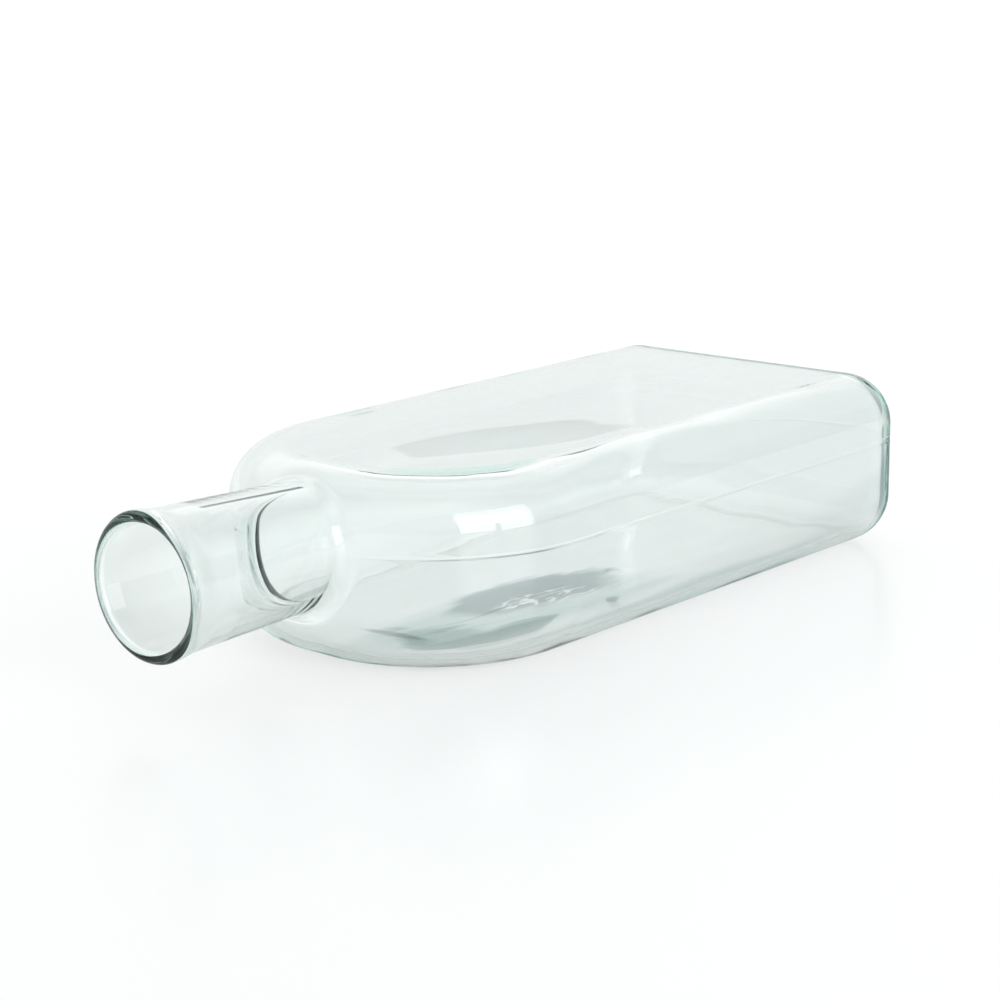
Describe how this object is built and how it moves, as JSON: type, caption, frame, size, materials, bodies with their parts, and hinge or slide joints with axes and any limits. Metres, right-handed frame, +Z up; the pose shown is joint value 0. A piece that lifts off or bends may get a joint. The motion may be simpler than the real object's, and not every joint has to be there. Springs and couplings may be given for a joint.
{
  "type": "cell culture flask",
  "caption": "Flat-sided culture flask of clear blown glass with round shoulders, a square base end and a plain open neck set off-centre, lying on its broad side.",
  "frame": {"origin": "middle of the footprint, on the surface that the broad side lies on", "axes": "+Z up through the broad sides, -X out of the mouth, +X towards the base end, Y across the body"},
  "size_m": [0.28, 0.116, 0.056],
  "materials": {
    "borosilicate_glass": "clear blown glass with a faint cool green cast, fire-polished at the lip"
  },
  "bodies": {
    "root": {"flask": "borosilicate_glass"}
  },
  "joints": []
}
